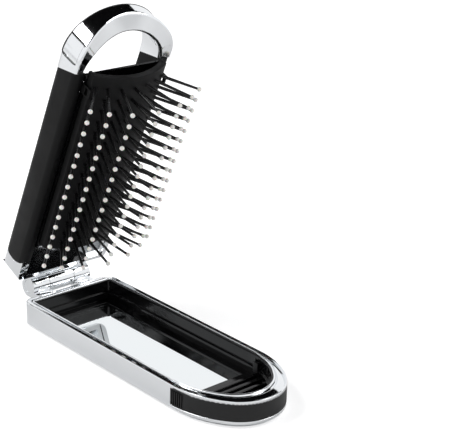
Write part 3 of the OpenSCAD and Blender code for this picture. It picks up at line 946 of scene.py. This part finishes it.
# %% Tapered tip
FRONT, TAPER_FROM, TAPER_TO, TIP_DROP, TAPER_STEPS = 0.3, 99.0, 114.0, 6.3, 13


def taper(obj):
    """Draws the front down towards the tip with a lattice, so that the tip is half as deep."""
    deselect()
    bpy.ops.object.add(type="LATTICE", location=((TAPER_FROM + TAPER_TO) / 2, 0, (FRONT - BRUSH_DEPTH) / 2))
    cage = bpy.context.object
    cage.scale = (TAPER_TO - TAPER_FROM, 60, FRONT + BRUSH_DEPTH)
    cage.data.points_u, cage.data.points_v, cage.data.points_w = TAPER_STEPS, 1, 2
    cage.data.interpolation_type_u = cage.data.interpolation_type_w = "KEY_LINEAR"
    for i in range(TAPER_STEPS):
        drop = TIP_DROP * (i / (TAPER_STEPS - 1)) ** 2
        cage.data.points[TAPER_STEPS + i].co_deform.z -= drop / (FRONT + BRUSH_DEPTH)
    bend = obj.modifiers.new("bend", "LATTICE")
    bend.object = cage
    apply_all(obj)
    bpy.data.objects.remove(cage)
    return obj


print("depth at the tip", round(FRONT + BRUSH_DEPTH - TIP_DROP, 2), "mm")

# %% [markdown]
# ### Recess round the arch
# A shallow patch with rounded ends is let into the outside of the arch. Round its edge lies a thin
# black strip, painted shade for the dark line at the recess's edge. Both are the same bent bar, made
# thin and cut off: one is taken out of the arch, and the other, with its middle taken out, stays as
# the strip of painted shade.

# %% Arch
DISH, ARCH_INNER = 1.3, RAIL_INNER - 0.6
ARCH_ROUNDING = {"outer_back": 3.1, "inner_back": 0.5, "inner_front": 1.4, "outer_front": 1.0}
TRACK_LOW, TRACK_HIGH, TRACK_END, TRACK_ROUND = -10.9, -1.6, 97.2, 4.2
TRACK_DEPTH, LINE, JOINT_GAP = 0.5, 0.45, 0.08
LINE_SUNK, LINE_PROUD = 0.05, 0.12  # how far the line goes into the recess floor and above it


def track(name, near, far, inset):
    """The long patch with a rounded end on the outside of the arch."""
    obj = bent_bar(name, (near, TRACK_LOW + inset), (far, TRACK_HIGH - inset), {})
    end = TRACK_END + inset
    cut_plane(obj, (end, 0, 0), (-1, 0, 0))
    select_in_edit(obj, edges=lambda e: all(abs(v.co.x - end) < SAME for v in e.verts)
                   and abs(e.verts[0].co.z - e.verts[1].co.z) < SAME)
    bpy.ops.mesh.bevel(offset=TRACK_ROUND - inset, segments=12, affect="EDGES")
    leave_edit()
    return obj


arch = bent_bar("arch_plated", (ARCH_INNER, -BRUSH_DEPTH), (HALF, FRONT), ARCH_ROUNDING, DISH)
boolean(arch, track("recess", HALF - TRACK_DEPTH, HALF + 1, 0))
cut_plane(arch, (RAIL_END + JOINT_GAP, 0, -BRUSH_DEPTH), -JOINT)
line = boolean(
    track("arch_shadow_line", HALF - TRACK_DEPTH - LINE_SUNK, HALF - TRACK_DEPTH + LINE_PROUD, 0),
    track("line_inside", HALF - 1.1, HALF + 1, LINE))
# The black of the shadow line is painted shade: it stands for the dark edge of the recess.
for obj, material, slot in ((arch, CHROME, "chrome"), (line, BAND, "tray_plastic")):
    taper(obj)
    smooth(obj, 35, weighted=True)
    to_frame(obj, BRUSH_TO_FRAME)
    paint(obj, material)
    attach(obj, "brush")
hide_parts("arch")
print("arch", len(arch.data.polygons), [round(c / MM, 2) for c in arch.dimensions])

# %% [markdown]
# ## Bed and spine
# A plate carries the pad and a strip under its crown draws it back. Both are hardly seen, so
# they are copies of the CAD pieces, cut off before the wider ring of the arch begins.

# %% Bed and spine
PAD_TIP, BED_TIP, SPINE_TIP = 96.2, 94.7, 94.2


def clip(obj, u=None, side=None, fill=True):
    """Keeps what lies nearer the hinge than u, or on one side of the middle."""
    edit_all(obj)
    if u is not None:
        bpy.ops.mesh.bisect(plane_co=(u, 0, 0), plane_no=(1, 0, 0), use_fill=fill, clear_outer=True)
    if side is not None:
        bpy.ops.mesh.bisect(plane_co=(0, 0, 0), plane_no=(0, -side, 0), use_fill=fill, clear_outer=True)
    leave_edit()
    return obj


def to_brush(obj):
    obj.matrix_world = FRAME_TO_BRUSH @ obj.matrix_world
    return freeze(obj)


bed = clip(to_brush(copy_of("pad_bed", "pad_bed_plate")), BED_TIP)
to_frame(bed, BRUSH_TO_FRAME)
smooth(bed, 30)
paint(bed, TRAY)
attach(bed, "bed")
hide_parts("pad_bed")

spine = clip(to_brush(copy_of("pad_spine", "pad_spine_strip")), SPINE_TIP)
to_frame(spine, BRUSH_TO_FRAME)
paint(spine, TRAY)
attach(spine, "column_4")
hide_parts("pad_spine")
print("bed and spine", len(bed.data.polygons), len(spine.data.polygons))

# %% [markdown]
# ## Rubber pad
# The dome is drawn back as the brush shuts: its rim stays on the bed while its crown follows
# the middle column. One blended piece can only follow two bodies along one line, so the pad is
# made as two halves, cut along its middle; here they are built, but nothing bends them from the
# bed to that column. Its far end is closed by an arched rim only, because a whole wall would come
# out of the back of the brush half when the crown is drawn in.

# %% Pad halves
PAD_EDGE, RIM_THICKNESS, RIM_SETBACK, PAD_BEVEL = 0.47, 1.1, 0.75, 0.35
RIM_BELOW, RIM_INSIDE = 0.5, 0.3  # how far the rim stays below the dome and inside the sides
OPENING, OPENING_CENTRE = 26.5, -20.5  # the round opening under the rim


def pad_half(side, name):
    obj = clip(to_brush(copy_of("pad", name)), PAD_TIP)
    clip(obj, side=side, fill=False)
    u = PAD_TIP - RIM_SETBACK
    end = rod(PAD_RADIUS - RIM_BELOW, RIM_THICKNESS, (u, 0, PAD_CENTRE), axis="X", vertices=192)
    cut_plane(end, (0, 0, PAD_EDGE), (0, 0, -1))
    boolean(end, rod(OPENING, 4, (u, 0, OPENING_CENTRE), axis="X", vertices=192))
    cut_plane(end, (0, side * (PAD_HALF - RIM_INSIDE), 0), (0, side, 0))
    clip(end, side=side, fill=False)
    join(obj, end)
    bevel_all(obj, PAD_BEVEL)
    smooth(obj, 40)
    to_frame(obj, BRUSH_TO_FRAME)
    paint(obj, RUBBER)
    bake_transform(obj)
    return obj


pad_pieces = [pad_half(-1, "pad_left_half"), pad_half(1, "pad_right_half")]
for piece in pad_pieces:
    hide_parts("pad")
print("pad halves", [len(p.data.polygons) for p in pad_pieces])

# %% [markdown]
# ## Table
# The brush stands on a pale table that keeps its soft shadow. A white floor would need so much
# light that the plating burns out. So a little light of its own is added to the table, only for
# the rays that come straight from the camera.

# %% Table
TABLE_MM, TABLE_Z = 6000, -0.02


def plane(name, size_mm, height_mm):
    """A level square above or below the middle of the brush."""
    deselect()
    bpy.ops.mesh.primitive_plane_add(size=size_mm * MM, location=(0, 0, height_mm * MM))
    obj = bpy.context.object
    obj.name = name
    return obj


table = plane("table", TABLE_MM, TABLE_Z)
material, tree = new_material("white_table")
body = add(tree, "ShaderNodeBsdfDiffuse", Color=linear("#f4f4f4"))
glow = add(tree, "ShaderNodeEmission", Color=(1, 1, 1, 1), Strength=0.5)
seen = add(tree, "ShaderNodeLightPath")
both = add(tree, "ShaderNodeAddShader", [(0, body, 0), (1, glow, 0)])
mix = add(tree, "ShaderNodeMixShader", [("Fac", seen, "Is Camera Ray"), (1, body, 0), (2, both, 0)])
finish_material(tree, mix)
paint(table, material)
print("table", table.name)

# %% [markdown]
# ## Light
# Chrome shows what stands round it. A white world gives it its bright sides, and one dark board
# overhead gives it its black reflections. Lamps alone would leave it a flat grey. Two large
# area lights model the matt blacks.

# %% World and ceiling
CEILING_MM, CEILING_Z = 2150, 900
world = bpy.data.worlds.new("studio")
bpy.context.scene.world = world
world.use_nodes = True
world.node_tree.nodes.clear()
sky = add(world.node_tree, "ShaderNodeBackground", Color=(0.985, 0.99, 1, 1), Strength=1.0)
add(world.node_tree, "ShaderNodeOutputWorld", [("Surface", sky, 0)])

ceiling = plane("dark_ceiling", CEILING_MM, CEILING_Z)
material, tree = new_material("dark_ceiling_face")
finish_material(tree, add(tree, "ShaderNodeBsdfDiffuse", Color=linear("#0c0c0d")))
paint(ceiling, material)
print("ceiling", [round(c / MM) for c in ceiling.dimensions])

# %% Lamps
AIM = Vector((0, 0, 30))


def area(name, size_mm, centre_mm, power):
    """A soft box that looks at the brush."""
    light = bpy.data.lights.new(name, "AREA")
    light.shape = "RECTANGLE"
    light.size, light.size_y = size_mm[0] * MM, size_mm[1] * MM
    light.energy = power
    obj = bpy.data.objects.new(name, light)
    bpy.context.scene.collection.objects.link(obj)
    obj.location = [c * MM for c in centre_mm]
    obj.rotation_euler = (AIM - Vector(centre_mm)).to_track_quat("-Z", "Y").to_euler()


area("key", (600, 400), (-350, -500, 800), 5.2)
area("fill", (500, 400), (500, 500, 700), 2.6)
print("lamps", len(bpy.data.lights))

# %% [markdown]
# ## Camera
# A long lens looks at the open brush from beyond the tip of the lid, a little from above. It
# could be aimed with a Track To constraint, but it is rolled a little, so its three axes are
# given, as they were worked out from the edges of both halves.

# %% Camera
LENS, SENSOR = 108.03, 36.0
PLACE = Vector((353.9, -291.6, 229.1))
RIGHT = Vector((0.6682, 0.7434, 0.0280))
UP = Vector((-0.2775, 0.2142, 0.9366))
BACK = Vector((0.6903, -0.6336, 0.3494))
camera_data = bpy.data.cameras.new("camera")
camera = bpy.data.objects.new("camera", camera_data)
bpy.context.scene.collection.objects.link(camera)
camera_data.lens = LENS
camera_data.sensor_width = SENSOR
camera_data.clip_end = 20
camera.matrix_world = Matrix.Translation(PLACE * MM) @ Matrix((RIGHT, UP, BACK)).transposed().to_4x4()
bpy.context.scene.camera = camera
bpy.context.scene.view_settings.view_transform = "Standard"
print("camera", LENS, "mm")
